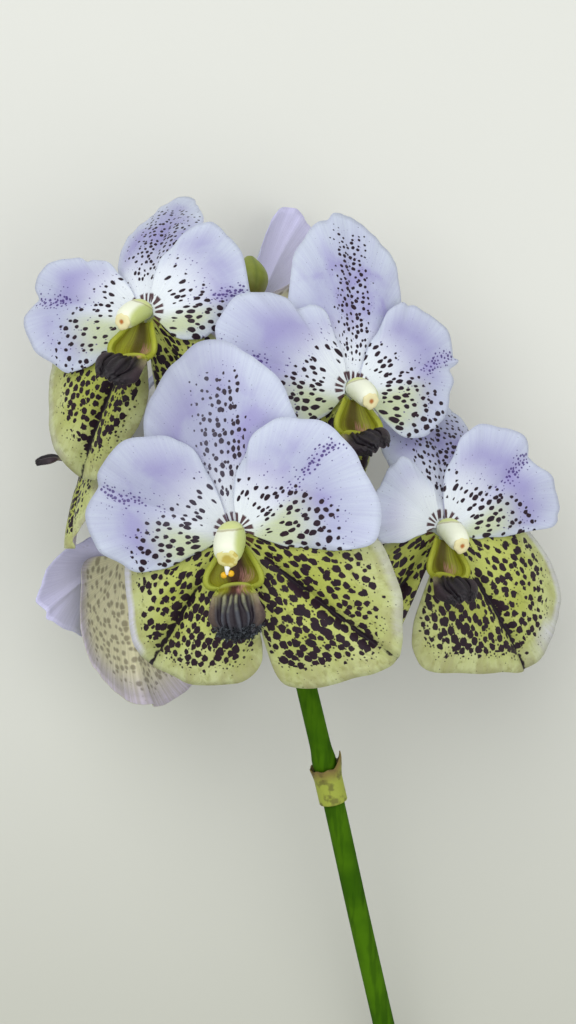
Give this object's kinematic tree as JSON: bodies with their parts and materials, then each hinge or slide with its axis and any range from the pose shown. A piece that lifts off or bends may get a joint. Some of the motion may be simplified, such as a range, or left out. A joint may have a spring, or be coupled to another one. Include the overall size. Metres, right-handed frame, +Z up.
{
  "type": "cut orchid spray",
  "caption": "Cut vanda orchid spray lying down: wide spotted lavender and yellow-green blooms with ridged dark lips round one green stem, with a closed bud at its tip.",
  "frame": {"origin": "on the surface that the spray lies on, under the middle of its bounding box", "axes": "+Y along the spray from the cut end of the stem to the bud, +Z up, where the front blooms face, +X to the right seen from above"},
  "size_m": [0.173, 0.333, 0.1236],
  "materials": {
    "petal": "satin, pale lavender blue with dark purple spots",
    "lateral_sepal": "satin, yellow-green with dark brown-purple blotches",
    "lip": "satin, olive green cup and near-black purple tongue",
    "column": "waxy cream",
    "pedicel": "satin, pale green-white",
    "stem": "satin, bright green",
    "sheath": "papery, yellow-green",
    "bud": "satin, yellow-green"
  },
  "bodies": {
    "root": {"stem": "stem", "stem_sheath": "sheath", "bud": "bud", "front_dorsal_sepal": "petal", "front_left_petal": "petal", "front_right_petal": "petal", "front_left_lateral_sepal": "lateral_sepal", "front_right_lateral_sepal": "lateral_sepal", "front_lip": "lip", "front_column": "column", "front_pedicel": "pedicel", "upper_left_dorsal_sepal": "petal", "upper_left_left_petal": "petal", "upper_left_right_petal": "petal", "upper_left_left_lateral_sepal": "lateral_sepal", "upper_left_right_lateral_sepal": "lateral_sepal", "upper_left_lip": "lip", "upper_left_column": "column", "upper_left_pedicel": "pedicel", "upper_right_dorsal_sepal": "petal", "upper_right_left_petal": "petal", "upper_right_right_petal": "petal", "upper_right_left_lateral_sepal": "lateral_sepal", "upper_right_right_lateral_sepal": "lateral_sepal", "upper_right_lip": "lip", "upper_right_column": "column", "upper_right_pedicel": "pedicel", "right_dorsal_sepal": "petal", "right_left_petal": "petal", "right_right_petal": "petal", "right_left_lateral_sepal": "lateral_sepal", "right_right_lateral_sepal": "lateral_sepal", "right_lip": "lip", "right_column": "column", "right_pedicel": "pedicel", "low_left_dorsal_sepal": "petal", "low_left_left_petal": "petal", "low_left_right_petal": "petal", "low_left_left_lateral_sepal": "lateral_sepal", "low_left_right_lateral_sepal": "lateral_sepal", "low_left_lip": "lip", "low_left_column": "column", "low_left_pedicel": "pedicel", "back_top_dorsal_sepal": "petal", "back_top_left_petal": "petal", "back_top_right_petal": "petal", "back_top_left_lateral_sepal": "lateral_sepal", "back_top_right_lateral_sepal": "lateral_sepal", "back_top_lip": "lip", "back_top_column": "column", "back_top_pedicel": "pedicel", "back_left_dorsal_sepal": "petal", "back_left_left_petal": "petal", "back_left_right_petal": "petal", "back_left_left_lateral_sepal": "lateral_sepal", "back_left_right_lateral_sepal": "lateral_sepal", "back_left_lip": "lip", "back_left_column": "column", "back_left_pedicel": "pedicel"}
  },
  "joints": []
}
